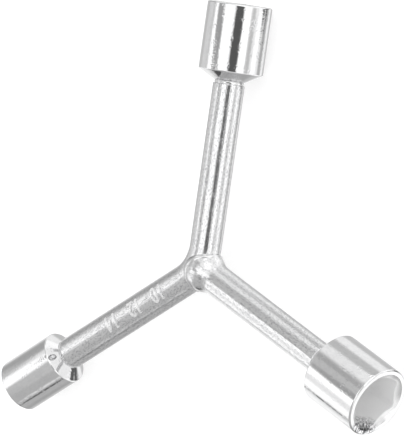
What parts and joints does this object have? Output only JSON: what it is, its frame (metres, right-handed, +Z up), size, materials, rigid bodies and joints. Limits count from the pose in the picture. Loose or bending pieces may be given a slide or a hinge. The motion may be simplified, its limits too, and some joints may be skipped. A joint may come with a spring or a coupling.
{
  "type": "y wrench",
  "caption": "Welded Y-shaped hand wrench: a hexagon socket with a conical shoulder at the end of each arm, and a round nose at the hub.",
  "frame": {"origin": "on the floor, under the middle of the wrench's box, with the wrench lying flat", "axes": "+Z up, square to the plane of the three arms; +Y along the upper arm, towards its mouth; +X to the side of the right arm"},
  "size_m": [0.132, 0.1188, 0.02],
  "materials": {
    "bright_bar": "bright plated steel bar with fine lengthwise drawing lines",
    "bright_socket": "bright plated steel, turned and polished",
    "weld_metal": "weld metal, plated over with the bars"
  },
  "bodies": {
    "root": {"main_bar": "bright_bar", "branch_bar": "bright_bar", "hub_weld": "weld_metal", "upper_socket": "bright_socket", "left_socket": "bright_socket", "right_socket": "bright_socket", "upper_neck_weld": "weld_metal", "left_neck_weld": "weld_metal", "right_neck_weld": "weld_metal"}
  },
  "joints": []
}
